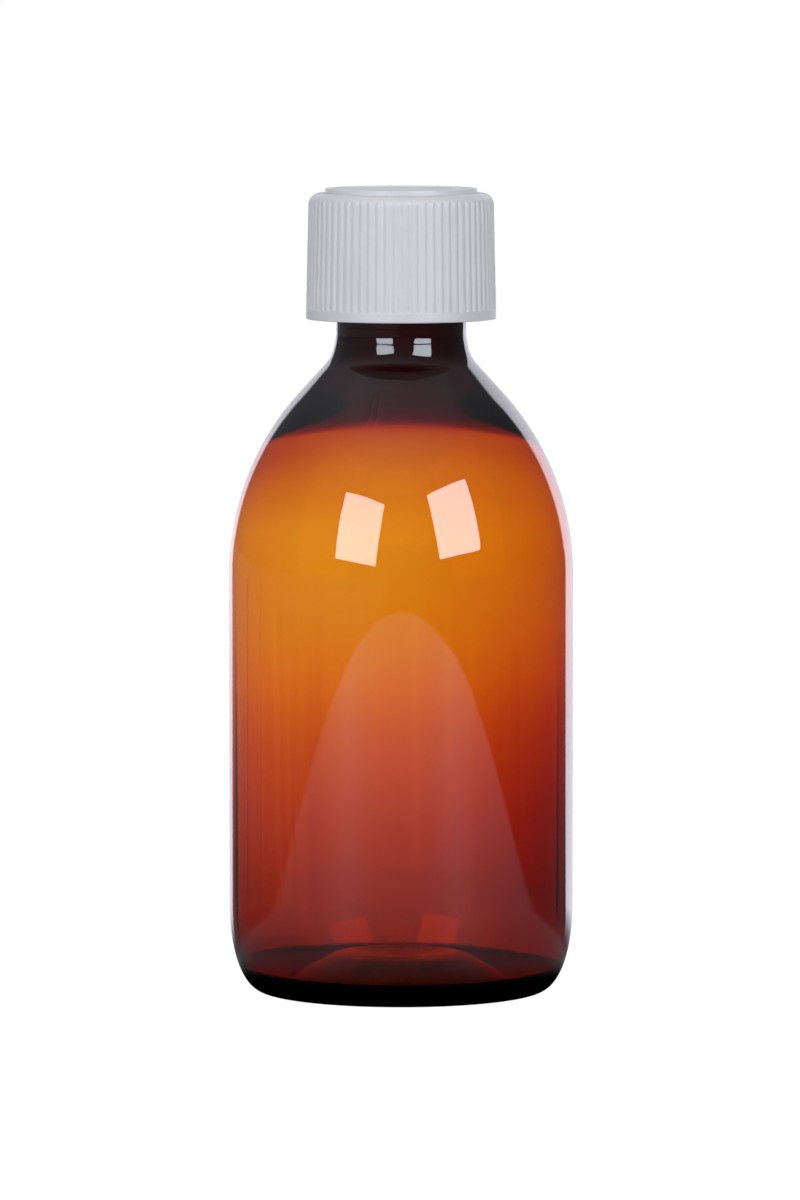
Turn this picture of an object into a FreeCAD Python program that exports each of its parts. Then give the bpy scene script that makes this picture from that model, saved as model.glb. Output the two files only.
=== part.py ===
"""Amber PET medicine bottle with a two-piece child-resistant screw cap, in millimetres.

Row frame: origin at the centre of the standing ring, +Z up along the axis of the bottle.
The cap is shown screwed home. Writes one STEP file for each separate piece into parts/.
"""

import math
import os

import FreeCAD, Part
from FreeCAD import Vector

# bottle, outside
BODY_R = 30.25
HEEL_TOP_Z = 16.0
HEEL_RUN = 6.5
HEEL_POWER = 2.2
RING_INNER_R = 22.2
PUSH_UP = 4.0
BODY_TOP_Z = 73.8
SHOULDER_R = 47.2
SHOULDER_DEG = 42.5
FLARE_R = 7.5
NECK_R = 11.42
NECK_TOP_Z = 122.4
MOUTH_Z = 134.8
FINISH_R = 12.45
BEAD_R = 13.0

# bottle, inside
BORE_R = 9.2
BODY_WALL = 0.35
LOW_WALL = 0.65
LOW_WALL_Z = 60.0
NECK_WALL = NECK_R - BORE_R
NECK_WALL_FROM_Z = 96.0
NECK_WALL_TO_Z = 112.0
BASE_WALL = 2.4
HEEL_WALL = 1.3

# screw thread, one start, right hand
PITCH = 3.63
BOTTLE_THREAD_Z = 126.6
BOTTLE_THREAD_TURNS = 1.5
BOTTLE_CREST_R = 13.5
CAP_THREAD_TURNS = 1.75
CAP_CREST_R = 12.65

# liner disc
LINER_R = 13.3
LINER_TOP_Z = 136.2

# inner cap
INNER_ROOT_R = 13.7
INNER_OUTER_R = 14.6
INNER_BOTTOM_Z = 122.4
INNER_TOP_Z = 137.4
FLANGE_R = 15.0
FLANGE_Z = 123.0
LUG_COUNT = 12
LUG_INNER_R = 10.8
LUG_OUTER_R = 14.0
LUG_DEG = 9.0
INNER_LUG_TOP_Z = 138.3

# spring ring
SPRING_INNER_R = 4.5
SPRING_OUTER_R = 9.8
SPRING_TOP_Z = 139.98
FINGER_COUNT = 8
FINGER_RUN = 4.6
FINGER_THICK = 0.5

# outer shell
SHELL_BOTTOM_Z = 118.65
SHELL_TOP_Z = 141.5
SHELL_BOTTOM_R = 16.7
SHELL_TOP_R = 16.3
SHELL_SHOULDER_Z = 138.5
SHELL_STEP_Z = 140.7
PLATEAU_R = 13.3
SHELL_INNER_R = 15.15
SHELL_ROOF_Z = 140.0
SHELL_LUG_BOTTOM_Z = 138.6
SHELL_BEAD_R = 14.75
RIB_COUNT = 66
RIB_BOTTOM_Z = 120.4
RIB_GROOVE_WIDTH = 0.95
RIB_DEPTH = 0.3

# tamper band
BAND_BOTTOM_Z = 119.2
BAND_TOP_Z = 122.0
BAND_OUTER_R = 14.4
BAND_INNER_R = 13.3
HOOK_R = 12.1
BRIDGE_COUNT = 8


def at(r, z):
    return Vector(r, 0, z)


def polyline(*points):
    places = [at(r, z) for r, z in points]
    return [Part.makeLine(a, b) for a, b in zip(places, places[1:])]


def curve(points):
    """Arcs through the points, three at a time, so their number is odd."""
    places = [at(r, z) for r, z in points]
    threes = zip(places[0::2], places[1::2], places[2::2])
    return [Part.Arc(*three).toShape() for three in threes]


def arc(centre, radius, from_deg, to_deg):
    """A circular edge about centre; angles are measured from +r towards +z."""
    places = []
    for deg in (from_deg, (from_deg + to_deg) / 2, to_deg):
        turn = math.radians(deg)
        r = centre[0] + radius * math.cos(turn)
        z = centre[1] + radius * math.sin(turn)
        places.append(at(r, z))
    return Part.Arc(*places).toShape()


def turned(edges):
    """The closed outline turned a full circle about the Z axis."""
    face = Part.Face(Part.Wire(Part.sortEdges(edges)[0]))
    return face.revolve(Vector(0, 0, 0), Vector(0, 0, 1), 360)


def around(shape, count, first_deg=0.0):
    """count copies of the shape, evenly spaced about the Z axis."""
    copies = []
    for i in range(count):
        copy = shape.copy()
        copy.rotate(Vector(0, 0, 0), Vector(0, 0, 1), first_deg + i * 360.0 / count)
        copies.append(copy)
    return copies


def tidy(shape):
    """One clean solid, with the seams between its joined pieces removed."""
    return shape.removeSplitter().Solids[0]


def thread(root_r, crest_r, root_width, crest_width, bottom_z, turns):
    """A helical ridge from root_r to crest_r, whichever way that points."""
    helix = Part.makeHelix(PITCH, turns * PITCH, root_r)
    outline = Part.makePolygon(
        [
            at(root_r, -root_width / 2),
            at(crest_r, -crest_width / 2),
            at(crest_r, crest_width / 2),
            at(root_r, root_width / 2),
            at(root_r, -root_width / 2),
        ]
    )
    ridge = Part.Wire(helix).makePipeShell([outline], True, True)
    ridge.translate(Vector(0, 0, bottom_z))
    return ridge


def sector(inner_r, outer_r, bottom_z, top_z, width_deg):
    """A block of a ring, centred on the +X axis."""
    disc = Part.makeCylinder(outer_r, top_z - bottom_z, at(0, bottom_z), Vector(0, 0, 1), width_deg)
    disc = disc.cut(Part.makeCylinder(inner_r, top_z - bottom_z, at(0, bottom_z)))
    disc.rotate(Vector(0, 0, 0), Vector(0, 0, 1), -width_deg / 2)
    return disc


def smooth(x):
    x = min(1.0, max(0.0, x))
    return x * x * (3 - 2 * x)


def superellipse(low, high, power, count):
    """Points of a quarter superellipse from low, where it is level, to high, where it is upright."""
    points = []
    for i in range(count + 1):
        turn = math.pi / 2 * i / count
        across = math.sin(turn) ** (2 / power)
        up = 1 - math.cos(turn) ** (2 / power)
        points.append((low[0] + (high[0] - low[0]) * across, low[1] + (high[1] - low[1]) * up))
    return points


def hill(edge_r, edge_z, height, count):
    """Points of the base's dome, from its level top on the axis out to its level rim."""
    points = []
    for i in range(count + 1):
        part = i / count
        points.append((edge_r * part, edge_z + height * (1 - part * part) ** 1.5))
    return points


def shoulder_wall(z):
    part = (z - NECK_WALL_FROM_Z) / (NECK_WALL_TO_Z - NECK_WALL_FROM_Z)
    return BODY_WALL + (NECK_WALL - BODY_WALL) * smooth(part)


def bottle_outside():
    turn = math.radians(SHOULDER_DEG)
    centre = (BODY_R - SHOULDER_R, BODY_TOP_Z)
    arc_end = (centre[0] + SHOULDER_R * math.cos(turn), centre[1] + SHOULDER_R * math.sin(turn))
    flare_start_r = NECK_R + FLARE_R * (1 - math.cos(turn))
    flare_start_z = arc_end[1] + (arc_end[0] - flare_start_r) / math.tan(turn)
    flare_end_z = flare_start_z + FLARE_R * math.sin(turn)
    flare_centre = (NECK_R + FLARE_R, flare_end_z)
    heel_low = (BODY_R - HEEL_RUN, 0)
    heel = superellipse(heel_low, (BODY_R, HEEL_TOP_Z), HEEL_POWER, 6)
    edges = polyline((RING_INNER_R, 0), heel_low)
    edges += curve(heel)
    edges += polyline((BODY_R, HEEL_TOP_Z), (BODY_R, BODY_TOP_Z))
    edges.append(arc(centre, SHOULDER_R, 0, SHOULDER_DEG))
    edges += polyline(arc_end, (flare_start_r, flare_start_z))
    edges.append(arc(flare_centre, FLARE_R, 180 + SHOULDER_DEG, 180))
    edges += polyline(
        (NECK_R, flare_end_z),
        (NECK_R, NECK_TOP_Z),
        (BEAD_R, NECK_TOP_Z),
        (BEAD_R, NECK_TOP_Z + 0.5),
        (FINISH_R, NECK_TOP_Z + 1.6),
        (FINISH_R, MOUTH_Z - 0.4),
        (FINISH_R - 0.4, MOUTH_Z),
        (BORE_R + 0.4, MOUTH_Z),
    )
    return edges, centre, arc_end, (flare_start_r, flare_start_z), flare_end_z


def bottle_inside(centre, arc_end, flare_start, flare_end_z):
    points = []
    for deg in (0, 14, 22, 26, 29, 32, 35, 38, SHOULDER_DEG):
        turn = math.radians(deg)
        radius = SHOULDER_R - shoulder_wall(centre[1] + SHOULDER_R * math.sin(turn))
        points.append((centre[0] + radius * math.cos(turn), centre[1] + radius * math.sin(turn)))
    turn = math.radians(SHOULDER_DEG)
    wall = shoulder_wall(flare_start[1])
    points.append((flare_start[0] - wall * math.cos(turn), flare_start[1] - wall * math.sin(turn)))
    points.append((BORE_R, flare_end_z))
    edges = polyline((BORE_R + 0.4, MOUTH_Z), (BORE_R, MOUTH_Z - 0.4), (BORE_R, flare_end_z))
    edges += curve(points)
    inner_r = BODY_R - BODY_WALL
    heel_low = (RING_INNER_R + 0.4, HEEL_WALL)
    heel_high = (BODY_R - LOW_WALL, HEEL_TOP_Z)
    edges += polyline((inner_r, BODY_TOP_Z), (inner_r, LOW_WALL_Z), heel_high)
    edges += curve(superellipse(heel_low, heel_high, 2.0, 6))
    top_z = PUSH_UP + BASE_WALL
    edges += curve(hill(heel_low[0], HEEL_WALL, top_z - HEEL_WALL, 6))
    edges += polyline((0, top_z), (0, PUSH_UP))
    edges += curve(hill(RING_INNER_R, 0, PUSH_UP, 6))
    return edges


def bottle():
    outside, centre, arc_end, flare_start, flare_end_z = bottle_outside()
    body = turned(outside + bottle_inside(centre, arc_end, flare_start, flare_end_z))
    root_r = FINISH_R - 0.3
    ridge = thread(root_r, BOTTLE_CREST_R, 2.1, 0.8, BOTTLE_THREAD_Z, BOTTLE_THREAD_TURNS)
    return tidy(body.fuse(ridge))


def liner():
    return Part.makeCylinder(LINER_R, LINER_TOP_Z - MOUTH_Z, at(0, MOUTH_Z))


def inner_cap():
    """Threaded cap with a snap flange low on its outside and drive lugs on its top."""
    body = turned(
        polyline(
            (0, LINER_TOP_Z),
            (LINER_R + 0.03, LINER_TOP_Z),
            (LINER_R + 0.03, MOUTH_Z),
            (LINER_R - 0.1, MOUTH_Z - 0.1),
            (INNER_ROOT_R, MOUTH_Z - 0.7),
            (INNER_ROOT_R, INNER_BOTTOM_Z),
            (INNER_OUTER_R, INNER_BOTTOM_Z),
            (INNER_OUTER_R, FLANGE_Z),
            (FLANGE_R, FLANGE_Z),
            (FLANGE_R, FLANGE_Z + 0.5),
            (INNER_OUTER_R, FLANGE_Z + 1.0),
            (INNER_OUTER_R, INNER_TOP_Z - 0.4),
            (INNER_OUTER_R - 0.4, INNER_TOP_Z),
            (0, INNER_TOP_Z),
            (0, LINER_TOP_Z),
        )
    )
    root_r = INNER_ROOT_R + 0.3
    ridge_z = BOTTLE_THREAD_Z - PITCH / 2
    ridge = thread(root_r, CAP_CREST_R, 1.9, 0.7, ridge_z, CAP_THREAD_TURNS)
    lug = sector(LUG_INNER_R, LUG_OUTER_R, INNER_TOP_Z - 0.2, INNER_LUG_TOP_Z, LUG_DEG)
    bridge = sector(INNER_ROOT_R + 0.1, BAND_OUTER_R, BAND_TOP_Z + 0.03, INNER_BOTTOM_Z + 0.2, 3)
    extras = [ridge] + around(lug, LUG_COUNT) + around(bridge, BRIDGE_COUNT)
    return tidy(body.fuse(extras))


def spring_ring():
    """A ring of sloping fingers that bear on the inner cap and hold the shell up."""
    ring = turned(
        polyline(
            (SPRING_INNER_R, SPRING_TOP_Z - 0.4),
            (SPRING_OUTER_R, SPRING_TOP_Z - 0.4),
            (SPRING_OUTER_R, SPRING_TOP_Z),
            (SPRING_INNER_R, SPRING_TOP_Z),
            (SPRING_INNER_R, SPRING_TOP_Z - 0.4),
        )
    )
    low_z = INNER_TOP_Z + 0.02
    high_z = SPRING_TOP_Z - 0.1
    start = Vector(SPRING_INNER_R + 1.2, 0, 0)
    outline = [(0, high_z), (FINGER_RUN, low_z + FINGER_THICK), (FINGER_RUN, low_z)]
    outline += [(FINGER_RUN - 0.5, low_z), (0, high_z - FINGER_THICK - 0.2)]
    corners = [start + Vector(0, y, z) for y, z in outline]
    finger = Part.Face(Part.makePolygon(corners + corners[:1])).extrude(Vector(3.4, 0, 0))
    return tidy(ring.fuse(around(finger, FINGER_COUNT)))


def shell_body():
    """Outside with its rounded shoulder and raised plateau, inside with its snap bead."""
    edges = polyline(
        (0, SHELL_TOP_Z - 0.25),
        (PLATEAU_R - 0.7, SHELL_TOP_Z - 0.25),
        (PLATEAU_R - 0.6, SHELL_TOP_Z),
        (PLATEAU_R - 0.1, SHELL_TOP_Z),
        (PLATEAU_R, SHELL_TOP_Z - 0.1),
        (PLATEAU_R, SHELL_STEP_Z - 0.2),
        (PLATEAU_R + 0.3, SHELL_STEP_Z - 0.2),
        (PLATEAU_R + 0.3, SHELL_STEP_Z),
        (PLATEAU_R + 0.9, SHELL_STEP_Z),
    )
    round_top = (PLATEAU_R + 0.9, SHELL_STEP_Z)
    round_end = (SHELL_TOP_R, SHELL_SHOULDER_Z)
    edges += curve([round_top, (15.65, 140.1), round_end])
    edges += polyline(
        round_end,
        (SHELL_BOTTOM_R - 0.03, RIB_BOTTOM_Z),
        (SHELL_BOTTOM_R, SHELL_BOTTOM_Z + 0.15),
        (SHELL_BOTTOM_R - 0.15, SHELL_BOTTOM_Z),
        (SHELL_INNER_R + 0.2, SHELL_BOTTOM_Z),
        (SHELL_INNER_R, SHELL_BOTTOM_Z + 0.2),
        (SHELL_INNER_R, FLANGE_Z - 1.3),
        (SHELL_BEAD_R, FLANGE_Z - 0.7),
        (SHELL_BEAD_R, FLANGE_Z - 0.2),
        (SHELL_INNER_R, FLANGE_Z - 0.1),
        (SHELL_INNER_R, SHELL_LUG_BOTTOM_Z),
        (SHELL_INNER_R - 0.95, SHELL_LUG_BOTTOM_Z + 1.0),
        (SHELL_INNER_R - 0.95, SHELL_ROOF_Z),
        (0, SHELL_ROOF_Z),
        (0, SHELL_TOP_Z - 0.25),
    )
    return turned(edges)


def outer_shell():
    """Finely ribbed shell that turns freely until it is pressed on to the inner cap's lugs."""
    valley_r = SHELL_BOTTOM_R - RIB_DEPTH
    outline = [(valley_r, 0)]
    outline += [(valley_r + 2 * RIB_DEPTH, side * RIB_GROOVE_WIDTH) for side in (-1, 1)]
    corners = [Vector(x, y, RIB_BOTTOM_Z) for x, y in outline]
    lean = (SHELL_TOP_R - SHELL_BOTTOM_R) / (SHELL_SHOULDER_Z - RIB_BOTTOM_Z)
    height = SHELL_STEP_Z - RIB_BOTTOM_Z
    groove = Part.Face(Part.makePolygon(corners + corners[:1])).extrude(Vector(lean * height, 0, height))
    half_gap = 180.0 / LUG_COUNT
    lug = sector(LUG_INNER_R, LUG_OUTER_R, SHELL_LUG_BOTTOM_Z, SHELL_ROOF_Z + 0.2, LUG_DEG)
    body = shell_body().fuse(around(lug, LUG_COUNT, half_gap))
    return tidy(body.cut(Part.makeCompound(around(groove, RIB_COUNT))))


def tamper_band():
    """Break-off band, whose inner hooks catch under the bottle's bead."""
    band = turned(
        polyline(
            (BAND_INNER_R, BAND_BOTTOM_Z),
            (BAND_OUTER_R, BAND_BOTTOM_Z),
            (BAND_OUTER_R, BAND_TOP_Z),
            (BAND_INNER_R, BAND_TOP_Z),
            (BAND_INNER_R, BAND_BOTTOM_Z),
        )
    )
    hook = turned(
        polyline(
            (BAND_INNER_R + 0.1, BAND_BOTTOM_Z + 0.1),
            (BAND_INNER_R + 0.1, BAND_BOTTOM_Z + 0.8),
            (HOOK_R + 0.4, BAND_TOP_Z),
            (HOOK_R, BAND_TOP_Z),
            (HOOK_R, BAND_TOP_Z - 0.5),
            (BAND_INNER_R + 0.1, BAND_BOTTOM_Z + 0.1),
        )
    )
    slot = sector(HOOK_R - 1, BAND_INNER_R, BAND_BOTTOM_Z - 1, BAND_TOP_Z + 1, 9)
    hook = hook.cut(Part.makeCompound(around(slot, BRIDGE_COUNT, 22.5)))
    return tidy(band.fuse(hook))


PIECES = {
    "bottle": bottle,
    "liner": liner,
    "inner_cap": inner_cap,
    "spring_ring": spring_ring,
    "outer_shell": outer_shell,
    "tamper_band": tamper_band,
}

os.makedirs("parts", exist_ok=True)
for name, make in PIECES.items():
    shape = make()
    shape.exportStep("parts/" + name + ".step")
    print(name, len(shape.Solids), shape.isValid(), round(shape.Volume, 1))
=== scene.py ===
"""Looks of the amber medicine bottle: turned meshes with real walls, in a photo studio.

Lengths in the outlines are in millimetres, in the part's own frame; meshes are made in metres.
"""

import math

import bpy
import numpy as np
from mathutils import Euler, Matrix


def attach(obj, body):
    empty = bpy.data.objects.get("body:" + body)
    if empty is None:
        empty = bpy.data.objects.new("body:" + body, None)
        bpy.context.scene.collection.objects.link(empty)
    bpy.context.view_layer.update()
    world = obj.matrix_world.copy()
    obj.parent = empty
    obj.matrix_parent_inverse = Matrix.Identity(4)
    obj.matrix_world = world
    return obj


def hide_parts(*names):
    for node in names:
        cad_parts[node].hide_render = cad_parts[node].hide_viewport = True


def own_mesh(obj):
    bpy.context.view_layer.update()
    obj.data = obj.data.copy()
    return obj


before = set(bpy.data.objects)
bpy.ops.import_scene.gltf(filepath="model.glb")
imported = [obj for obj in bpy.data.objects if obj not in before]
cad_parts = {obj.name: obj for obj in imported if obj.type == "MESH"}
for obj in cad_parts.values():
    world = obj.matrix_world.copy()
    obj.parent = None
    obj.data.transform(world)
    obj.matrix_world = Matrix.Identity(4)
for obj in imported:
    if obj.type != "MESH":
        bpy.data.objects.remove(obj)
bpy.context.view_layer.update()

MM = 0.001

# bottle, outside
BODY_R = 30.25
HEEL_TOP_Z = 16.0
HEEL_RUN = 6.5
HEEL_POWER = 2.2
RING_INNER_R = 22.2
PUSH_UP = 4.0
BODY_TOP_Z = 73.8
SHOULDER_R = 47.2
SHOULDER_TURN = math.radians(42.5)
FLARE_R = 7.5
NECK_R = 11.42
NECK_TOP_Z = 122.4
MOUTH_Z = 134.8
FINISH_R = 12.45
BEAD_R = 13.0

# bottle, inside: WALL gives the blown wall's thickness at some heights
BORE_R = 9.2
LIP_DEPTH = 2.0
NECK_WALL = NECK_R - BORE_R
WALL = (
    (16, 0.71),
    (30, 0.6),
    (47, 0.44),
    (56, 0.345),
    (66, 0.28),
    (82, 0.25),
    (92, 0.32),
    (97, 0.41),
)

# base, inside: the heel's thin wall ends in a thick foot, round a groove and a flat-topped dome
HEEL_WALL = 0.95
FOOT_WALL = 2.5
FOOT_Z = 4.3
GROOVE_R = 20.9
GROOVE_Z = 1.5
DOME_R = 11.4
BASE_TOP_Z = 6.6

# screw thread
PITCH = 3.63
BOTTLE_THREAD_Z = 126.6
BOTTLE_THREAD_TURNS = 1.5
THREAD_HEIGHT = 1.05

# closure: DRAFT is how far the sides of lugs and bridges lean each way
LINER_R = 13.3
LINER_TOP_Z = 136.2
INNER_ROOT_R = 13.7
INNER_OUTER_R = 14.6
INNER_BOTTOM_Z = 122.4
INNER_TOP_Z = 137.4
FLANGE_R = 15.0
FLANGE_Z = 123.0
LUG_COUNT = 12
LUG_INNER_R = 10.8
LUG_OUTER_R = 14.0
LUG_HALF = math.radians(4.5)
DRAFT = 0.04
SHELL_BOTTOM_Z = 118.65
SHELL_TOP_Z = 141.5
SHELL_BOTTOM_R = 16.7
SHELL_TOP_R = 16.3
SHELL_SHOULDER_Z = 138.5
SHELL_STEP_Z = 140.7
SHELL_INNER_R = 15.15
SHELL_BEAD_R = 14.75
SHELL_ROOF_Z = 140.0
PLATEAU_R = 13.3
RIB_COUNT = 66
RIB_BOTTOM_Z = 120.4
RIB_DEPTH = 0.3
BAND_BOTTOM_Z = 119.2
BAND_TOP_Z = 122.0
BAND_OUTER_R = 14.4
BAND_INNER_R = 13.3
HOOK_R = 12.1
BRIDGE_COUNT = 8
BRIDGE_INNER_R = 13.82
BRIDGE_OUTER_R = 14.36
SPRING_INNER_R = 4.5
SPRING_OUTER_R = 9.8
SPRING_TOP_Z = 139.98
SPRING_THICK = 0.4
FINGER_COUNT = 8
FINGER_INNER_R = 5.6
FINGER_OUTER_R = 9.0
FINGER_STEPS = 14

# how far the thickening towards the neck sits higher at the front and back than at the sides
NECK_WAVE = 2.3

# two short folds at the foot of the neck: their angles about Z, radius and heights
NECK_FOLDS = (4.438, 4.502)
FOLD_R = 17.5
FOLD_BOTTOM_Z = 101.4
FOLD_TOP_Z = 107.4

# upright hairlines on the body, with a bead at the upper end: angle about Z, and its height
HAIRLINE_HEIGHT = 0.02
HAIRLINE_TIP = 0.03
HAIRLINES = (
    (3.616, 73.4),
    (3.770, 71.4),
    (3.797, 70.6),
    (3.947, 71.8),
    (4.060, 62.0),
    (0.900, 74.0),
    (1.760, 70.5),
    (2.550, 73.0),
)

# studio, seen through the plastic: the radiance all round, and of the floor by distance, which is dark
# out to 40 mm from the axis as a painted shadow of the bottle and rises beyond
SURROUND = 1.2
SEEN_FLOOR = (
    (0.0, 0.0),
    (0.04, 0.0),
    (0.052, 0.42),
    (0.075, 0.72),
    (0.12, 0.92),
    (0.2, 1.2),
    (0.3, 1.35),
    (0.5, 1.4),
    (0.7, 1.25),
    (1.0, 1.2),
)

# studio, mirrored: the room, by the sine of the elevation, and darker to the right
ROOM = (
    (0.0, 0.11),
    (0.25, 0.15),
    (0.42, 0.17),
    (0.54, 0.22),
    (0.77, 0.37),
    (0.87, 0.50),
    (1.0, 0.50),
)
ROOM_LEAN = -0.35
ROOM_TINT = (0.91, 0.90, 1.0, 1)

# studio, mirrored: a bright back, out to these slopes, that brightens with the slope
BACK_RIGHT = math.tan(math.radians(35))
BACK_LEFT = math.tan(math.radians(23))
BACK_LEVEL = 0.6
BACK_RISE = 2.6

# studio, mirrored: a round sheet of paper in front, by distance and by angle, on a dim table; the
# paper is a painted reflection, a glow that the floor shows only to reflections, and its darkening
# towards the bottle is a painted shadow
PAPER_CENTRE = (0.012, -0.405, 0.0)
PAPER_R = 0.435
PAPER_EDGE = 0.01
PAPER_AWAY = (
    (0.031, 0.0),
    (0.043, 0.26),
    (0.08, 0.42),
    (0.13, 0.52),
    (0.20, 0.64),
    (0.30, 0.80),
    (0.45, 1.0),
)
PAPER_ASIDE = ((0.0, 0.66), (0.3, 0.74), (0.6, 1.1), (0.9, 0.75), (1.5, 0.60))
TABLE_LEFT = 0.24
TABLE_RIGHT = 0.10

# studio: the softboxes' colour, the height that all lights point at, and the camera
SOFTBOX_TINT = (0.82, 0.90, 1.0)
AIM_Z = 0.084
CAMERA_PLACE = (-0.0002, -1.571, 0.201)
CAMERA_DOWN = math.radians(4.8)
CAMERA_LENS = 268.8


# outlines -----------------------------------------------------------------------------------


def smooth(x):
    x = np.clip(x, 0.0, 1.0)
    return x * x * (3 - 2 * x)


def rounded(corners, steps=5):
    """Points along the straight runs between the corners (r, z, fillet radius)."""
    points = []
    for i, (r, z, fillet) in enumerate(corners):
        here = np.array((r, z))
        if fillet == 0 or i in (0, len(corners) - 1):
            points.append(tuple(here))
            continue
        before = np.array(corners[i - 1][:2]) - here
        after = np.array(corners[i + 1][:2]) - here
        before /= np.linalg.norm(before)
        after /= np.linalg.norm(after)
        half = math.acos(np.clip(before @ after, -1, 1)) / 2
        reach = fillet / math.tan(half)
        middle = here + (before + after) / np.linalg.norm(before + after) * fillet / math.sin(half)
        start, end = here + before * reach - middle, here + after * reach - middle
        for k in range(steps + 1):
            spoke = start * (1 - k / steps) + end * (k / steps)
            points.append(tuple(middle + spoke / np.linalg.norm(spoke) * fillet))
    return points


def spaced(points, gap, edge=0.06):
    """The same line with a point at least every gap, and one just inside each end of a long run."""
    out = [points[0]]
    for a, b in zip(points, points[1:]):
        a, b = np.array(a), np.array(b)
        length = np.linalg.norm(b - a)
        if length < 1e-6:
            continue
        if length > 3 * edge:
            count = max(1, math.ceil((length - 2 * edge) / gap))
            places = [edge + (length - 2 * edge) * k / count for k in range(count + 1)]
            out += [tuple(a + (b - a) * place / length) for place in places]
        out.append(tuple(b))
    return out


def superellipse(low, high, power, count):
    """A quarter superellipse from low, where it is level, to high, where it is upright."""
    turn = np.linspace(0, math.pi / 2, count + 1)
    r = low[0] + (high[0] - low[0]) * np.sin(turn) ** (2 / power)
    z = low[1] + (high[1] - low[1]) * (1 - np.cos(turn) ** (2 / power))
    return list(zip(r, z))


def hill(edge_r, edge_z, height, power, count):
    """The push-up under the base, from the axis out; a higher power makes its top flatter."""
    part = np.linspace(0, 1, count + 1)
    return list(zip(edge_r * part, edge_z + height * (1 - part**power) ** 1.5))


def arc(centre, radius, start, end, count):
    turn = np.linspace(start, end, count + 1)
    return list(zip(centre[0] + radius * np.cos(turn), centre[1] + radius * np.sin(turn)))


def wall_at(z):
    """Thickness of the blown wall: thin in the body, thick where the bottle was stretched least."""
    heights, walls = zip(*WALL)
    blown = np.interp(z, heights, walls)
    return blown + (NECK_WALL - blown) * smooth((z - 98.6) / 9.5)


# meshes -------------------------------------------------------------------------------------


def new_object(name, vertices, faces):
    mesh = bpy.data.meshes.new(name)
    mesh.from_pydata(vertices, [], faces)
    mesh.shade_smooth()
    mesh.validate()
    piece = bpy.data.objects.new(name, mesh)
    bpy.context.collection.objects.link(piece)
    return piece


def evenly(columns):
    return np.arange(columns) * 2 * math.pi / columns


def turned(name, outline, angle, relief=None, loop=False):
    """Turns the outline about Z, with a column of points at each angle.

    The outline runs up the outside, so that the faces look outwards, and unless loop is set it
    starts and ends on the axis. relief(r, z, angle) gives the moved r and z of every point.
    """
    outline = np.array(outline)
    columns = len(angle)
    r = np.repeat(outline[:, :1], columns, axis=1)
    z = np.repeat(outline[:, 1:], columns, axis=1)
    if relief:
        r, z = relief(r, z, angle[None, :])
    grid = np.stack([r * np.cos(angle), r * np.sin(angle), z], axis=-1) * MM
    rows = len(grid)
    across = np.arange(columns)
    beside = (across + 1) % columns
    if loop:
        vertices = grid.reshape(-1, 3)
        index = np.arange(rows * columns).reshape(rows, columns)
        pairs = [(i, (i + 1) % rows) for i in range(rows)]
        faces = []
    else:
        vertices = np.concatenate([grid[:1, 0], grid[1:-1].reshape(-1, 3), grid[-1:, 0]])
        index = np.arange((rows - 2) * columns).reshape(rows - 2, columns) + 1
        last = len(vertices) - 1
        pairs = [(i, i + 1) for i in range(rows - 3)]
        faces = [(0, index[0, j], index[0, k])[::-1] for j, k in zip(across, beside)]
        faces += [(last, index[-1, j], index[-1, k]) for j, k in zip(across, beside)]
    for low, high in pairs:
        block = np.stack([index[low], index[low][beside], index[high][beside], index[high]], -1)
        faces += block.tolist()
    return new_object(name, vertices.tolist(), [tuple(int(i) for i in f) for f in faces])


def ridge(z, angle, bottom_z, turns, height, width):
    """Height of a one-start thread ridge at (z, angle), fading in and out at its two ends."""
    total = np.zeros(np.broadcast(z, angle).shape)
    for lap in range(math.ceil(turns) + 1):
        along = angle / (2 * math.pi) + lap
        ends = smooth(along / 0.07) * smooth((turns - along) / 0.07)
        away = np.abs(z - bottom_z - PITCH * along)
        flank = smooth((width / 2 - away) / 0.62 + 0.5)
        total = np.maximum(total, height * flank * ends)
    return total


def sector(angle, count, half, first=0.0, edge=0.012):
    """1 inside each of count evenly spaced sectors, falling to 0 across their edges."""
    pitch = 2 * math.pi / count
    away = np.abs((angle - first + pitch / 2) % pitch - pitch / 2)
    return smooth((half - away) / edge + 0.5)


# the pieces ---------------------------------------------------------------------------------


def finish_outline(neck_z):
    """The neck's outside from neck_z up, round the beads and over the lip."""
    corners = [
        (NECK_R, neck_z, 0),
        (NECK_R, NECK_TOP_Z, 0.12),
        (BEAD_R, NECK_TOP_Z, 0.12),
        (BEAD_R, NECK_TOP_Z + 0.5, 0.12),
        (FINISH_R, NECK_TOP_Z + 1.6, 0.3),
        (FINISH_R, MOUTH_Z, 0.35),
        (BORE_R, MOUTH_Z, 0.35),
        (BORE_R, MOUTH_Z - LIP_DEPTH, 0),
    ]
    return spaced(rounded(corners), 0.14)


def base_lining():
    """The inside of the heel and base, from the body's wall down and in to the axis."""
    foot = (BODY_R - HEEL_RUN - 0.1, HEEL_WALL)
    heel = superellipse(foot, (BODY_R - WALL[0][1], HEEL_TOP_Z), HEEL_POWER, 60)[-2::-1]
    heel = [(r, z) for r, z in heel if z > FOOT_Z + 1.4]
    corners = [
        (*heel[-1], 0),
        (BODY_R - FOOT_WALL, FOOT_Z, 2.0),
        (GROOVE_R, GROOVE_Z, 3.0),
        (DOME_R, BASE_TOP_Z, 5.0),
        (0.0, BASE_TOP_Z, 0),
    ]
    return heel + spaced(rounded(corners, 12), 0.4)[1:]


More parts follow.
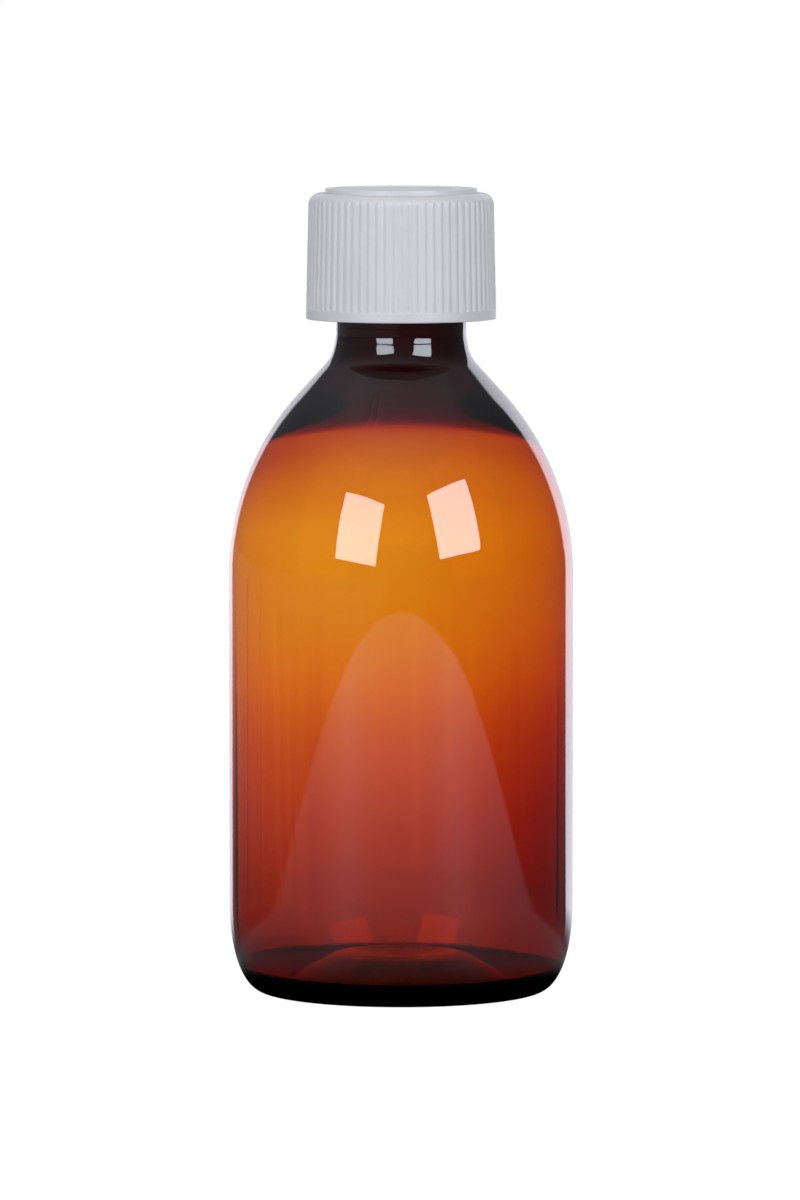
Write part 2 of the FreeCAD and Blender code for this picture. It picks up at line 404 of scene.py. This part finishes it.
def bottle_outline():
    """(outside, inside) of the bottle, from the middle of its base, over the lip and back."""
    turn = SHOULDER_TURN
    centre = (BODY_R - SHOULDER_R, BODY_TOP_Z)
    arc_end = (centre[0] + SHOULDER_R * math.cos(turn), centre[1] + SHOULDER_R * math.sin(turn))
    flare_r = NECK_R + FLARE_R * (1 - math.cos(turn))
    flare_z = arc_end[1] + (arc_end[0] - flare_r) / math.tan(turn)
    neck_z = flare_z + FLARE_R * math.sin(turn)
    flare_centre = (NECK_R + FLARE_R, neck_z)
    heel_low = (BODY_R - HEEL_RUN, 0.0)

    outside = hill(RING_INNER_R, 0.0, PUSH_UP, 2, 40)
    outside += superellipse(heel_low, (BODY_R, HEEL_TOP_Z), HEEL_POWER, 40)
    outside += spaced([(BODY_R, HEEL_TOP_Z), (BODY_R, BODY_TOP_Z)], 0.5)[1:-1]
    shoulder = arc(centre, SHOULDER_R, 0, turn, 54)
    shoulder += spaced([arc_end, (flare_r, flare_z)], 0.5)[1:-1]
    shoulder += arc(flare_centre, FLARE_R, math.pi + turn, math.pi, 46)
    outside += shoulder + finish_outline(neck_z)[1:]

    shoulder = np.array(shoulder)
    slope = np.gradient(shoulder, axis=0)
    slope /= np.linalg.norm(slope, axis=1)[:, None]
    thick = wall_at(shoulder[:, 1])[:, None]
    lining = shoulder + np.stack([-slope[:, 1], slope[:, 0]], axis=1) * thick
    inside = spaced([(BORE_R, MOUTH_Z - LIP_DEPTH), tuple(lining[-1])], 1.0)[1:-1]
    inside += [tuple(p) for p in lining[::-1]]
    z = np.linspace(BODY_TOP_Z - 1, HEEL_TOP_Z, 46)
    inside += list(zip(BODY_R - wall_at(z), z))
    return outside, inside + base_lining()


def flow(z, angle):
    """Uneven wall left by blowing, as a share of its thickness: a thick side, waves and streaks."""
    rng = np.random.default_rng(11)
    sides = 0.3 * np.maximum(np.cos(angle), 0) - 0.2 * np.maximum(-np.cos(angle), 0)
    waves = sides * smooth((98 - z) / 20)
    waves = waves + 0.03 * np.sin(2 * angle + 0.7)
    waves = waves + 0.02 * np.sin(3 * angle + 2.1 + z * 0.01)
    waves = waves + 0.02 * np.sin(5 * angle + 4.0 - z * 0.02)
    streaks = np.zeros(np.broadcast(z, angle).shape)
    for place in rng.uniform(0, 2 * math.pi, 30):
        lean = rng.uniform(-0.0006, 0.0006)
        away = (angle - place - lean * (z - 40) + math.pi) % (2 * math.pi) - math.pi
        width = rng.uniform(0.014, 0.03)
        top = rng.uniform(66, 80)
        fade = smooth((top - z) / 16) * smooth((z - 6) / 14)
        streaks += rng.uniform(-0.10, 0.10) * np.exp(-((away / width) ** 2)) * fade
    return waves + streaks


def hairlines(z, angle):
    """Height of the fine upright lines on the outside of the body, less the neck's folds."""
    total = np.zeros(np.broadcast(z, angle).shape)
    for place, top in HAIRLINES:
        away = ((angle - place + math.pi) % (2 * math.pi) - math.pi) * BODY_R
        fade = smooth((top - z) / 1.5) * smooth((z - 10) / 12)
        total += HAIRLINE_HEIGHT * np.exp(-((away / 0.07) ** 2)) * fade
        total += HAIRLINE_TIP * np.exp(-((away / 0.1) ** 2) - ((z - top) / 0.6) ** 2)
    for place in NECK_FOLDS:
        away = ((angle - place + math.pi) % (2 * math.pi) - math.pi) * FOLD_R
        fade = smooth((FOLD_TOP_Z - z) / 0.8) * smooth((z - FOLD_BOTTOM_Z) / 0.8)
        total -= 0.12 * np.exp(-((away / 0.18) ** 2)) * fade
    return total


def body_angles():
    """Even columns, with close ones in place of those that fall on a hairline or a fold."""
    places = np.array([place for place, _ in HAIRLINES] + list(NECK_FOLDS))
    even = evenly(384)
    gap = np.abs((even[:, None] - places + math.pi) % (2 * math.pi) - math.pi).min(axis=1)
    offsets = np.array([-0.2, -0.12, -0.06, 0, 0.06, 0.12, 0.2]) / BODY_R
    close = (places[:, None] + offsets).ravel()
    return np.sort(np.concatenate([even[gap > 0.26 / BODY_R], close]))


def make_bottle():
    outside, inside = bottle_outline()
    inner_row = np.arange(len(outside) + len(inside))[:, None] >= len(outside)

    def relief(r, z, angle):
        thread = ridge(z, angle, BOTTLE_THREAD_Z, BOTTLE_THREAD_TURNS, THREAD_HEIGHT, 1.45)
        lift = np.where(inner_row | (z < BOTTLE_THREAD_Z - 1.2), 0, thread)
        thick = wall_at(z) * flow(z, angle) * smooth((112 - z) / 20) * smooth((z - 4) / 10)
        witness = 0.012 * np.exp(-(((z - 117.1) / 0.12) ** 2))
        swell = 0.12 * np.clip((115.75 - z) / 0.95, 0, 1) * smooth((z - 111.0) / 3.0)
        crease = -0.05 * np.exp(-(((z - 114.62) / 0.11) ** 2))
        skin = witness + swell + crease + hairlines(z, angle)
        uneven = NECK_WAVE * np.cos(2 * angle)
        thick += (wall_at(z + uneven) - wall_at(z)) * (z > 90) * (z < 113)
        gate = 0.3 * np.exp(-(((r - 8.5) / 1.3) ** 2)) - 0.35 * np.exp(-((r / 4.0) ** 2))
        z = z + np.where(inner_row & (z < 7) & (r < 14), gate, 0)
        return r + lift + np.where(inner_row, -thick, skin), z

    return turned("bottle_pet", outside + inside, body_angles(), relief)


def shell_outline():
    """The shell's outline, from the middle of its roof, out over the rim and up to its top."""
    inside = [
        (0, SHELL_ROOF_Z, 0),
        (LUG_INNER_R - DRAFT, SHELL_ROOF_Z, 0),
        (LUG_INNER_R + DRAFT, SHELL_ROOF_Z, 0),
        (LUG_OUTER_R - DRAFT, SHELL_ROOF_Z, 0),
        (LUG_OUTER_R + DRAFT, SHELL_ROOF_Z, 0),
        (SHELL_INNER_R - 0.95, SHELL_ROOF_Z, 0.1),
        (SHELL_INNER_R - 0.95, SHELL_ROOF_Z - 0.4, 0.1),
        (SHELL_INNER_R, SHELL_ROOF_Z - 1.4, 0.2),
        (SHELL_INNER_R, FLANGE_Z - 0.1, 0),
        (SHELL_BEAD_R, FLANGE_Z - 0.2, 0.05),
        (SHELL_BEAD_R, FLANGE_Z - 0.7, 0.1),
        (SHELL_INNER_R, FLANGE_Z - 1.3, 0.2),
        (SHELL_INNER_R, SHELL_BOTTOM_Z, 0.15),
    ]
    outside = [
        (SHELL_BOTTOM_R, SHELL_BOTTOM_Z, 0.18),
        (SHELL_BOTTOM_R - 0.03, RIB_BOTTOM_Z, 0),
        (SHELL_BOTTOM_R - 0.032, RIB_BOTTOM_Z + 0.1, 0),
        (SHELL_TOP_R, SHELL_SHOULDER_Z, 0),
    ]
    top = [
        (14.2, SHELL_STEP_Z, 0),
        (PLATEAU_R + 0.3, SHELL_STEP_Z, 0.06),
        (PLATEAU_R + 0.22, SHELL_STEP_Z - 0.22, 0.03),
        (PLATEAU_R + 0.04, SHELL_STEP_Z - 0.22, 0.03),
        (PLATEAU_R, SHELL_TOP_Z, 0.12),
        (PLATEAU_R - 0.6, SHELL_TOP_Z, 0.08),
        (PLATEAU_R - 0.7, SHELL_TOP_Z - 0.25, 0.08),
        (0, SHELL_TOP_Z - 0.25, 0),
    ]
    corner = superellipse((14.2, -SHELL_STEP_Z), (SHELL_TOP_R, -SHELL_SHOULDER_Z), 2.1, 14)
    outline = spaced(rounded(inside + outside), 0.9)
    outline += [(r, -z) for r, z in corner[-2:0:-1]]
    return outline + spaced(rounded(top), 0.22)


def make_shell():
    lean = (SHELL_TOP_R - SHELL_BOTTOM_R) / (SHELL_SHOULDER_Z - RIB_BOTTOM_Z)

    def relief(r, z, angle):
        lug = sector(angle, LUG_COUNT, LUG_HALF, math.pi / LUG_COUNT)
        under_roof = (np.abs(z - SHELL_ROOF_Z) < 0.01) & (r > LUG_INNER_R) & (r < LUG_OUTER_R)
        z = np.where(under_roof, z - 1.4 * lug, z)
        crest = SHELL_BOTTOM_R - 0.032 + lean * (z - RIB_BOTTOM_Z)
        phase = np.abs((angle * RIB_COUNT / (2 * math.pi)) % 1 - 0.5) * 2
        groove = RIB_DEPTH * (0.5 + 0.5 * np.cos(math.pi * np.clip(phase / 0.72, 0, 1)))
        ribbed = (r > 15.5) & (z > RIB_BOTTOM_Z + 0.05)
        r = np.where(ribbed, np.minimum(r, crest - groove), r)
        on_top = (z > SHELL_TOP_Z - 0.26) & (z < SHELL_TOP_Z - 0.24)
        return r, z + np.where(on_top, 0.18 * arrows(r, angle), 0)

    return turned("cap_shell", shell_outline(), evenly(RIB_COUNT * 10), relief)


def arrows(r, angle):
    """Two plain curved arrows round the top of the cap, pointing the way it opens."""
    total = np.zeros(np.broadcast(r, angle).shape)
    for start in (0.35, 0.35 + math.pi):
        along = (angle - start) % (2 * math.pi)
        shaft = smooth((0.55 - np.abs(r - 9.0)) / 0.12 + 0.5) * (along < 1.85)
        head = smooth((1.55 - (along - 1.85) * 5.2 - np.abs(r - 9.0)) / 0.12 + 0.5)
        total = np.maximum(total, np.maximum(shaft, head * (along >= 1.85) * (along < 2.2)))
    return total


def make_inner_cap():
    outline = rounded(
        [
            (0, LINER_TOP_Z, 0),
            (LINER_R + 0.03, LINER_TOP_Z, 0.03),
            (LINER_R + 0.03, MOUTH_Z + 0.05, 0),
            (LINER_R - 0.1, MOUTH_Z - 0.1, 0.05),
            (INNER_ROOT_R, MOUTH_Z - 0.7, 0.15),
            (INNER_ROOT_R, INNER_BOTTOM_Z, 0.08),
            (BRIDGE_INNER_R - DRAFT, INNER_BOTTOM_Z, 0),
            (BRIDGE_INNER_R + DRAFT, INNER_BOTTOM_Z, 0),
            (BRIDGE_OUTER_R - DRAFT, INNER_BOTTOM_Z, 0),
            (BRIDGE_OUTER_R + DRAFT, INNER_BOTTOM_Z, 0),
            (INNER_OUTER_R, INNER_BOTTOM_Z, 0.08),
            (INNER_OUTER_R, FLANGE_Z, 0.08),
            (FLANGE_R, FLANGE_Z, 0.08),
            (FLANGE_R, FLANGE_Z + 0.5, 0.12),
            (INNER_OUTER_R, FLANGE_Z + 1.0, 0.2),
            (INNER_OUTER_R, INNER_TOP_Z, 0.35),
            (LUG_OUTER_R + DRAFT, INNER_TOP_Z, 0),
            (LUG_OUTER_R - DRAFT, INNER_TOP_Z, 0),
            (LUG_INNER_R + DRAFT, INNER_TOP_Z, 0),
            (LUG_INNER_R - DRAFT, INNER_TOP_Z, 0),
            (0, INNER_TOP_Z, 0),
        ]
    )

    def relief(r, z, angle):
        inner = (r < INNER_ROOT_R + 0.01) & (z < MOUTH_Z - 0.6) & (z > INNER_BOTTOM_Z + 0.3)
        bottom_z = BOTTLE_THREAD_Z - PITCH / 2
        thread = ridge(z, angle, bottom_z, BOTTLE_THREAD_TURNS + 0.25, THREAD_HEIGHT, 1.25)
        on_top = (z > INNER_TOP_Z - 0.001) & (r > LUG_INNER_R) & (r < LUG_OUTER_R)
        lug = 0.9 * sector(angle, LUG_COUNT, LUG_HALF)
        below = (z < INNER_BOTTOM_Z + 0.001) & (r > BRIDGE_INNER_R) & (r < BRIDGE_OUTER_R)
        bridge = 0.37 * sector(angle, BRIDGE_COUNT, 0.026)
        flutes = 0.1 * (0.5 + 0.5 * np.cos(angle * 48))
        outer = (r > INNER_OUTER_R - 0.01) & (r < INNER_OUTER_R + 0.01)
        outer &= (z > FLANGE_Z + 1.3) & (z < INNER_TOP_Z - 0.6)
        r = r - np.where(inner, thread, 0) - np.where(outer, flutes, 0)
        return r, z + np.where(on_top, lug, 0) - np.where(below, bridge, 0)

    return turned("cap_inner", spaced(outline, 0.16), evenly(384), relief)


def make_band():
    outline = rounded(
        [
            (13.85, BAND_TOP_Z, 0),
            (BAND_INNER_R, BAND_TOP_Z, 0.1),
            (BAND_INNER_R, BAND_BOTTOM_Z + 1.1, 0.1),
            (HOOK_R + 0.4, BAND_TOP_Z, 0.08),
            (HOOK_R, BAND_TOP_Z, 0.1),
            (HOOK_R, BAND_TOP_Z - 0.5, 0.2),
            (BAND_INNER_R, BAND_BOTTOM_Z, 0.2),
            (BAND_OUTER_R, BAND_BOTTOM_Z, 0.2),
            (BAND_OUTER_R, BAND_TOP_Z, 0.2),
            (13.86, BAND_TOP_Z, 0),
        ]
    )

    def relief(r, z, angle):
        notch = 0.35 * sector(angle, BRIDGE_COUNT, 0.08, math.pi / BRIDGE_COUNT)
        return r + np.where(r < HOOK_R + 0.6, notch, 0), z

    return turned("tamper_ring", spaced(outline, 0.3), evenly(288), relief, loop=True)


def make_liner():
    outline = rounded(
        [
            (0, MOUTH_Z + 0.01, 0),
            (LINER_R - 0.02, MOUTH_Z + 0.01, 0.15),
            (LINER_R - 0.02, LINER_TOP_Z - 0.01, 0.15),
            (0, LINER_TOP_Z - 0.01, 0),
        ]
    )

    def relief(r, z, angle):
        inside = smooth((12.6 - r) / 0.5) * smooth((r - 8.9) / 0.5)
        pressed = np.where(z < MOUTH_Z + 0.2, 0.06 * inside, 0)
        return r, z + pressed

    return turned("cap_liner", spaced(outline, 0.5), evenly(192), relief)


def make_spring():
    """A ring under the shell's roof with eight curved fingers that bear on the inner cap."""
    under = SPRING_TOP_Z - SPRING_THICK
    corners = [
        (7.0, under, 0),
        (SPRING_OUTER_R, under, 0.12),
        (SPRING_OUTER_R, SPRING_TOP_Z, 0.12),
        (SPRING_INNER_R, SPRING_TOP_Z, 0.12),
        (SPRING_INNER_R, under, 0.12),
        (6.9, under, 0),
    ]
    ring = turned("spring_fingers", spaced(rounded(corners), 0.6), evenly(192), loop=True)
    vertices = [tuple(v.co) for v in ring.data.vertices]
    faces = [tuple(p.vertices) for p in ring.data.polygons]
    for finger in range(FINGER_COUNT):
        first = len(vertices)
        for step in range(FINGER_STEPS + 1):
            vertices += finger_section(finger * 2 * math.pi / FINGER_COUNT, step / FINGER_STEPS)
        faces += finger_faces(first)
    bpy.data.objects.remove(ring)
    return new_object("spring_fingers", vertices, faces)


def finger_section(root, part):
    """The four corners of a finger that springs from the angle root, at this part of its run."""
    turn = root + 0.64 * part
    top = SPRING_TOP_Z - 2.05 * smooth(part) - 0.1 + 0.2 * (1 - part)
    low = top - 0.62 + 0.22 * part
    corners = []
    for r, z in (
        (FINGER_INNER_R, low),
        (FINGER_OUTER_R, low),
        (FINGER_OUTER_R, top),
        (FINGER_INNER_R, top),
    ):
        corners.append((r * math.cos(turn) * MM, r * math.sin(turn) * MM, z * MM))
    return corners


def finger_faces(first):
    """The sides and the two ends of a finger whose corners start at the vertex first."""
    faces = []
    for step in range(FINGER_STEPS):
        near = first + 4 * step
        for side in range(4):
            other = (side + 1) % 4
            faces.append((near + side, near + 4 + side, near + 4 + other, near + other))
    end = first + 4 * FINGER_STEPS
    faces.append((first, first + 1, first + 2, first + 3))
    faces.append((end + 3, end + 2, end + 1, end))
    return faces


# materials ----------------------------------------------------------------------------------


def node(tree, kind, inputs=None, **settings):
    made = tree.nodes.new(kind)
    for key, value in settings.items():
        setattr(made, key, value)
    for key, value in (inputs or {}).items():
        if isinstance(value, bpy.types.NodeSocket):
            tree.links.new(value, made.inputs[key])
        else:
            made.inputs[key].default_value = value
    return made


def new_material(name):
    material = bpy.data.materials.new(name)
    material.use_nodes = True
    material.node_tree.nodes.clear()
    return material, material.node_tree


def noise(tree, size_mm, detail=3.0, stretch=(1, 1, 1)):
    """Noise with features about size_mm across, fixed to the piece."""
    place = node(tree, "ShaderNodeTexCoord").outputs["Object"]
    scaled = node(tree, "ShaderNodeMapping", {"Vector": place, "Scale": stretch})
    texture = node(
        tree,
        "ShaderNodeTexNoise",
        {"Vector": scaled.outputs["Vector"], "Scale": 1 / (size_mm * MM), "Detail": detail},
    )
    return texture.outputs["Fac"]


def spread(tree, value, low, high):
    made = node(tree, "ShaderNodeMapRange", {"Value": value, "From Min": 0.3, "From Max": 0.7})
    made.inputs["To Min"].default_value = low
    made.inputs["To Max"].default_value = high
    return made.outputs["Result"]


def bump(tree, height, depth_mm, normal=None):
    made = node(tree, "ShaderNodeBump", {"Height": height, "Strength": 1.0, "Distance": depth_mm * MM})
    if normal:
        tree.links.new(normal, made.inputs["Normal"])
    return made.outputs["Normal"]


def plastic(name, light, dark, rough, grain_mm, grain_depth, soft):
    """Moulded white plastic: faint clouding, an eroded satin skin, and light let in under it."""
    material, tree = new_material(name)
    cloud = noise(tree, 6.0)
    colour = node(
        tree,
        "ShaderNodeMix",
        {"Factor": spread(tree, cloud, 0, 1)},
        data_type="RGBA",
    )
    colour.inputs["A"].default_value = (*light, 1)
    colour.inputs["B"].default_value = (*dark, 1)
    grain = noise(tree, grain_mm, detail=2.0)
    shader = node(
        tree,
        "ShaderNodeBsdfPrincipled",
        {
            "Base Color": colour.outputs["Result"],
            "Roughness": spread(tree, noise(tree, 1.5), rough - 0.05, rough + 0.07),
            "IOR": 1.49,
            "Subsurface Weight": soft,
            "Subsurface Radius": (1.0, 0.9, 0.8),
            "Subsurface Scale": 0.0009,
            "Normal": bump(tree, grain, grain_depth, bump(tree, noise(tree, 9.0), 0.03)),
        },
    )
    node(tree, "ShaderNodeOutputMaterial", {"Surface": shader.outputs["BSDF"]})
    return material


def amber():
    """Clear amber plastic, whose colour comes only from the thickness that light crosses."""
    material, tree = new_material("amber_pet")
    ripple = noise(tree, 7.0, detail=1.0, stretch=(1, 1, 0.35))
    shader = node(
        tree,
        "ShaderNodeBsdfPrincipled",
        {
            "Base Color": (1, 1, 1, 1),
            "Roughness": spread(tree, noise(tree, 3.0), 0.0, 0.02),
            "IOR": 1.575,
            "Transmission Weight": 1.0,
            "Normal": bump(tree, ripple, 0.014),
        },
    )
    absorb = node(
        tree,
        "ShaderNodeVolumeAbsorption",
        {"Color": (0.917, 0.725, 0.0, 1), "Density": 12000.0},
    )
    node(
        tree,
        "ShaderNodeOutputMaterial",
        {"Surface": shader.outputs["BSDF"], "Volume": absorb.outputs["Volume"]},
    )
    return material


# the studio ---------------------------------------------------------------------------------


def mix(tree, factor, a, b):
    made = node(tree, "ShaderNodeMixShader", {0: factor})
    tree.links.new(a, made.inputs[1])
    tree.links.new(b, made.inputs[2])
    return made.outputs["Shader"]


def ramp(tree, value, steps):
    """A level that follows the (value, level) steps in straight runs."""
    span = steps[-1][0]
    top = max(level for _, level in steps)
    made = node(tree, "ShaderNodeValToRGB", {"Fac": maths(tree, "MULTIPLY", value, 1 / span)})
    elements = made.color_ramp.elements
    elements[0].position = steps[0][0] / span
    elements[1].position = 1.0
    for place, _ in steps[1:-1]:
        elements.new(place / span)
    for element, (_, level) in zip(elements, steps):
        element.color = (level / top, level / top, level / top, 1)
    return maths(tree, "MULTIPLY", made.outputs["Color"], top)


def edge(tree, value, start, end):
    """0 where the value is below start, 1 above end, smooth between."""
    made = node(tree, "ShaderNodeMapRange", {"Value": value}, interpolation_type="SMOOTHSTEP")
    made.inputs["From Min"].default_value = start
    made.inputs["From Max"].default_value = end
    return made.outputs["Result"]


def maths(tree, operation, *values):
    return node(tree, "ShaderNodeMath", dict(enumerate(values)), operation=operation).outputs[0]


def emission(tree, strength, colour=(1, 1, 1, 1)):
    return node(tree, "ShaderNodeEmission", {"Color": colour, "Strength": strength}).outputs[0]


def bright_back(tree, x, y):
    """Radiance of the back, which only the bottle's edges mirror: brighter to the sides."""
    aside = maths(tree, "SUBTRACT", maths(tree, "ABSOLUTE", x), BODY_R * MM)
    slope = maths(tree, "DIVIDE", aside, maths(tree, "MAXIMUM", y, 0.001))
    right = maths(tree, "GREATER_THAN", x, 0.0)
    reach = maths(tree, "MULTIPLY_ADD", right, BACK_RIGHT - BACK_LEFT, BACK_LEFT)
    inside = edge(tree, maths(tree, "SUBTRACT", slope, reach), 0.06, -0.06)
    level = maths(tree, "MULTIPLY_ADD", maths(tree, "MAXIMUM", slope, 0.0), BACK_RISE, BACK_LEVEL)
    return maths(tree, "MULTIPLY", maths(tree, "MULTIPLY", inside, level), edge(tree, y, 0.03, 0.12))


def make_world():
    """A white surround behind clear plastic, and a dim room with a bright back in reflections."""
    world = bpy.data.worlds.new("studio")
    bpy.context.scene.world = world
    world.use_nodes = True
    tree = world.node_tree
    tree.nodes.clear()
    rays = node(tree, "ShaderNodeLightPath").outputs
    place = node(tree, "ShaderNodeTexCoord").outputs["Generated"]
    axes = node(tree, "ShaderNodeSeparateXYZ", {0: place}).outputs
    low = edge(tree, maths(tree, "ABSOLUTE", axes["Z"]), 0.55, 0.42)
    back = maths(tree, "MULTIPLY", bright_back(tree, axes["X"], axes["Y"]), low)
    lean = maths(tree, "MULTIPLY_ADD", axes["X"], ROOM_LEAN, 1.0)
    level = maths(tree, "MULTIPLY", ramp(tree, axes["Z"], ROOM), lean)
    level = maths(tree, "ADD", back, level)
    dim = node(tree, "ShaderNodeBackground", {"Strength": level}).outputs[0]
    bright = node(tree, "ShaderNodeBackground", {"Strength": SURROUND}).outputs[0]
    white = node(tree, "ShaderNodeBackground", {"Strength": 1.0}).outputs[0]
    for shader, colour in ((dim, ROOM_TINT), (bright, (1, 1, 1, 1)), (white, (1, 1, 1, 1))):
        shader.node.inputs["Color"].default_value = colour
    seen = mix(tree, rays["Is Transmission Ray"], dim, bright)
    seen = mix(tree, rays["Is Camera Ray"], seen, white)
    node(tree, "ShaderNodeOutputWorld", {"Surface": seen})


def mirrored_floor(tree, place, axes, away):
    """What reflections show of the floor, all as painted glow: the paper, with a painted shadow near
    the bottle, the dim table and the bright back.
    """
    table = edge(tree, axes["X"], -0.35, -0.10)
    table = maths(tree, "MULTIPLY_ADD", table, TABLE_RIGHT - TABLE_LEFT, TABLE_LEFT)
    ahead = maths(tree, "MULTIPLY", axes["Y"], -1.0)
    aside = maths(tree, "ABSOLUTE", maths(tree, "ARCTAN2", axes["X"], ahead))
    # painted shadow: the paper's glow falls to nothing near the bottle's foot
    paper = maths(tree, "MULTIPLY", ramp(tree, away, PAPER_AWAY), ramp(tree, aside, PAPER_ASIDE))
    offset = node(tree, "ShaderNodeVectorMath", {0: place, 1: PAPER_CENTRE}, operation="DISTANCE")
    off = edge(tree, offset.outputs["Value"], PAPER_R - PAPER_EDGE, PAPER_R + PAPER_EDGE)
    level = node(tree, "ShaderNodeMix", {"Factor": off, "A": paper, "B": table})
    back = bright_back(tree, axes["X"], axes["Y"])
    return maths(tree, "ADD", back, level.outputs["Result"])


def make_floor():
    """A white floor, with its own painted glows for reflections and for what clear plastic shows, each
    with a painted shadow round the bottle.
    """
    half = 4.0
    corners = [(-half, -half, 0), (half, -half, 0), (half, half, 0), (-half, half, 0)]
    floor = new_object("floor", corners, [(0, 1, 2, 3)])
    material, tree = new_material("floor_paper")
    rays = node(tree, "ShaderNodeLightPath").outputs
    place = node(tree, "ShaderNodeTexCoord").outputs["Object"]
    axes = node(tree, "ShaderNodeSeparateXYZ", {0: place}).outputs
    away = node(tree, "ShaderNodeVectorMath", {0: place}, operation="LENGTH").outputs["Value"]
    reflected = emission(tree, mirrored_floor(tree, place, axes, away), ROOM_TINT)
    # painted shadow: what the plastic shows of the floor is dark under and round the bottle
    through = emission(tree, ramp(tree, away, SEEN_FLOOR))
    white = node(tree, "ShaderNodeAddShader")
    lit = node(tree, "ShaderNodeBsdfDiffuse", {"Color": (0.12, 0.12, 0.12, 1)}).outputs[0]
    tree.links.new(lit, white.inputs[0])
    tree.links.new(emission(tree, 0.96), white.inputs[1])
    seen = mix(tree, rays["Is Transmission Ray"], reflected, through)
    seen = mix(tree, rays["Is Camera Ray"], seen, white.outputs[0])
    node(tree, "ShaderNodeOutputMaterial", {"Surface": seen})
    floor.data.materials.append(material)


def area_light(name, azimuth, elevation, distance, size, radiance, roll=0.0):
    """A rectangular light aimed at the shoulder. Azimuth 0 is on the camera's side, 90 right."""
    light = bpy.data.lights.new(name, "AREA")
    light.shape = "RECTANGLE"
    light.size, light.size_y = size
    light.energy = radiance * math.pi * size[0] * size[1]
    lamp = bpy.data.objects.new(name, light)
    bpy.context.collection.objects.link(lamp)
    turn, rise = math.radians(azimuth), math.radians(elevation)
    flat = distance * math.cos(rise)
    height = AIM_Z + distance * math.sin(rise)
    lamp.location = (flat * math.sin(turn), -flat * math.cos(turn), height)
    facing = Euler((math.pi / 2 - rise, 0, turn)).to_matrix()
    lamp.rotation_euler = (facing @ Matrix.Rotation(math.radians(roll), 3, "Z")).to_euler()
    return lamp


def softbox(*placing, **more):
    """A light that is only seen mirrored in the plastic."""
    lamp = area_light(*placing, **more)
    lamp.visible_diffuse = False
    lamp.data.color = SOFTBOX_TINT


def fill(*placing, **more):
    """A light that only brightens the surfaces, and is not mirrored."""
    area_light(*placing, **more).visible_glossy = False


def make_camera():
    data = bpy.data.cameras.new("camera")
    data.lens = CAMERA_LENS
    data.sensor_width = 36
    data.sensor_fit = "AUTO"
    data.clip_end = 20
    camera = bpy.data.objects.new("camera", data)
    bpy.context.collection.objects.link(camera)
    camera.location = CAMERA_PLACE
    camera.rotation_euler = (math.pi / 2 - CAMERA_DOWN, 0, 0)
    bpy.context.scene.camera = camera


PIECES = (
    (make_bottle, "bottle", "amber_pet"),
    (make_liner, "liner", "liner_foam"),
    (make_inner_cap, "inner_cap", "white_inner"),
    (make_spring, "spring_ring", "white_inner"),
    (make_shell, "outer_shell", "white_shell"),
    (make_band, "tamper_band", "white_inner"),
)

# the white plastics: light and dark colour, roughness, grain size and depth in mm, softness
WHITES = {
    "liner_foam": ((0.86, 0.86, 0.84), (0.80, 0.80, 0.78), 0.75, 0.18, 0.03, 0.3),
    "white_inner": ((0.84, 0.84, 0.83), (0.80, 0.80, 0.79), 0.38, 0.25, 0.004, 0.3),
    "white_shell": ((0.80, 0.81, 0.83), (0.77, 0.78, 0.80), 0.42, 0.22, 0.008, 0.25),
}

bpy.context.scene.view_settings.view_transform = "Standard"
materials = {slot: plastic(slot, *look) for slot, look in WHITES.items()}
materials["amber_pet"] = amber()
for make, body, slot in PIECES:
    piece = make()
    piece.data.materials.append(materials[slot])
    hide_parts(body)
    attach(piece, body)
    if body == "spring_ring":
        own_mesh(piece)

make_world()
make_floor()
softbox("softbox_left", -29.5, 18.5, 0.9, (0.45, 0.44), 8.6, roll=-5)
softbox("softbox_right", 39, 21.8, 0.9, (0.48, 0.46), 9.2, roll=5)
fill("fill_left", -55, 25, 1.6, (1.2, 1.6), 1.18)
fill("fill_front", 0, 30, 1.6, (1.2, 1.0), 1.53)
fill("fill_right", 55, 25, 1.6, (1.2, 1.6), 1.28)
make_camera()
